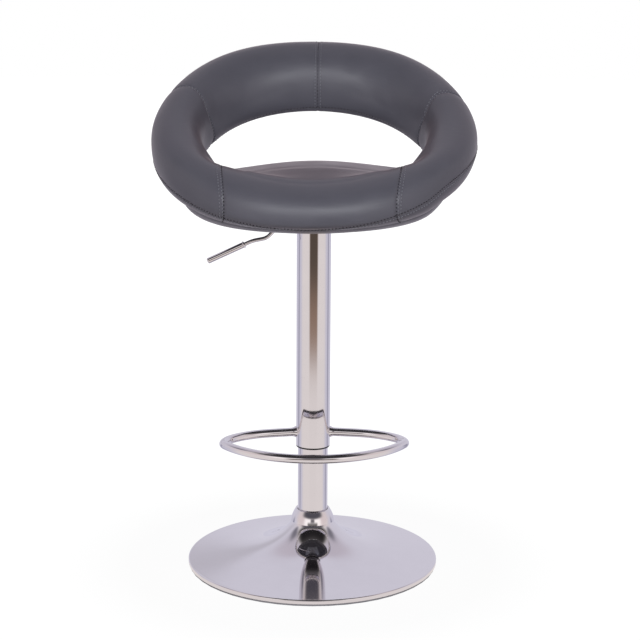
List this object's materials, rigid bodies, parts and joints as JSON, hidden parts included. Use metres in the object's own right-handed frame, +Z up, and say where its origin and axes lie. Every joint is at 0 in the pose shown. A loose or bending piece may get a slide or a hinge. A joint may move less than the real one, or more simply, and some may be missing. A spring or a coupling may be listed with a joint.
{
  "type": "counter stool",
  "caption": "Counter stool with an upholstered ring-backed bucket seat, gas-lift swivel column, footrest ring and round dished base.",
  "frame": {"origin": "on the floor, on the column's axis, which is the centre of the base", "axes": "+Z up along the column; -Y is the sitter's front, where the footrest reaches forward; +X is to the viewer's right when the front is looked at, so the lever is on -X"},
  "size_m": [0.512, 0.4396, 0.8418],
  "materials": {
    "chrome": "polished",
    "steel": "zinc plated",
    "black_steel": "black coated, satin",
    "iron": "as cast",
    "nylon": "moulded",
    "rubber": "moulded",
    "plywood": "bare",
    "leather": "smooth, satin, slate grey"
  },
  "bodies": {
    "base": {"base_floor_ring": "rubber", "base_disc": "chrome", "base_weight": "iron", "column_socket": "steel", "base_collar": "chrome", "column_tube": "chrome", "column_guide_bush": "nylon", "thrust_washer_lower": "steel", "thrust_ball_cage": "steel"},
    "swivel": {"piston_rod": "chrome", "piston": "nylon", "thrust_washer_upper": "steel", "rod_clip": "steel", "rubber_bumper": "rubber"},
    "lift": {"gas_cylinder": "black_steel", "cylinder_gland": "nylon", "shroud_tube": "chrome", "shroud_bush": "nylon", "shroud_centring_ring": "nylon", "footrest_ring": "chrome", "mounting_plate": "black_steel", "taper_socket": "steel", "plate_bolt_1": "steel", "plate_bolt_2": "steel", "plate_bolt_3": "steel", "plate_bolt_4": "steel", "tee_nut_1": "steel", "tee_nut_2": "steel", "tee_nut_3": "steel", "tee_nut_4": "steel", "lever_bracket": "black_steel", "lever_pivot_pin": "steel", "seat_board": "plywood", "underside_cover": "leather", "hoop_frame": "black_steel", "hoop_saddle_right": "black_steel", "hoop_saddle_left": "black_steel", "seat_cushion": "leather", "arm_pad_right": "leather", "arm_pad_left": "leather", "back_pad_right": "leather", "back_pad_left": "leather"},
    "lever": {"lever_rod": "chrome", "lever_grip": "chrome", "lever_grip_ring": "steel"},
    "button": {"release_button": "steel"}
  },
  "joints": [
    {"name": "seat_swivel", "type": "hinge", "parent": "base", "child": "swivel", "pos_m": [0, 0, 0], "axis": [0, 0, 1], "continuous": true},
    {"name": "gas_lift", "type": "slide", "parent": "swivel", "child": "lift", "axis": [0, 0, 1], "range_m": [0, 0.21]},
    {"name": "lever_lift", "type": "hinge", "parent": "lift", "child": "lever", "pos_m": [-0.04, 0, 0.5593], "axis": [0, 1, 0], "range_deg": [0, 5], "stiffness_Nm_per_rad": 2, "springref_deg": -8.59},
    {"name": "button_press", "type": "slide", "parent": "lift", "child": "button", "axis": [0, 0, -1], "range_m": [0, 0.0035]}
  ],
  "couplings": [
    {"joint": "button_press", "follows": "lever_lift", "m_per_rad": 0.04}
  ]
}
